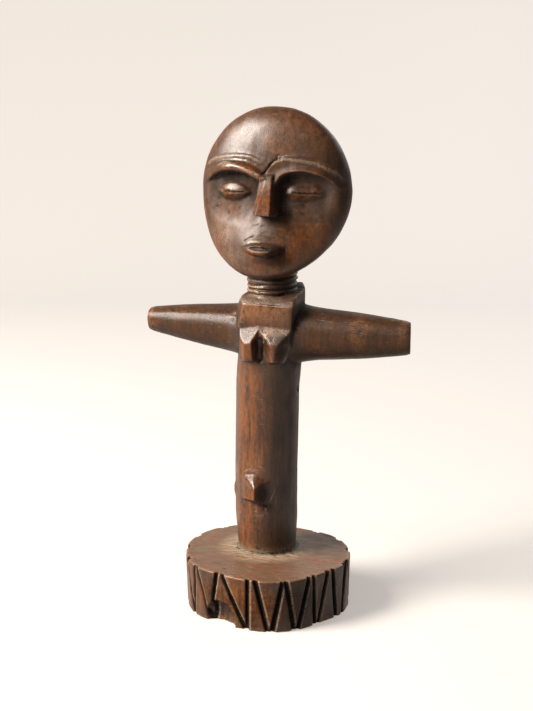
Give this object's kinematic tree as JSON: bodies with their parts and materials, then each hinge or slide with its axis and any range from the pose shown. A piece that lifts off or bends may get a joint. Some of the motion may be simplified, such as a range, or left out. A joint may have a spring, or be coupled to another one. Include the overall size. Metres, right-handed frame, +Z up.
{
  "type": "akuaba figure",
  "caption": "Carved hardwood akuaba doll: round flat head on a ringed neck, short tapered arms, plain column body, round foot disc with a zigzag cut into its wall.",
  "frame": {"origin": "middle of the foot disc's underside", "axes": "+Z up along the body, the face towards -Y, the figure's left arm towards +X"},
  "size_m": [0.1325, 0.0787, 0.2395],
  "materials": {
    "stained_hardwood": "dark stained hardwood, hand polished to a satin patina"
  },
  "bodies": {
    "root": {"akuaba_figure": "stained_hardwood"}
  },
  "joints": []
}
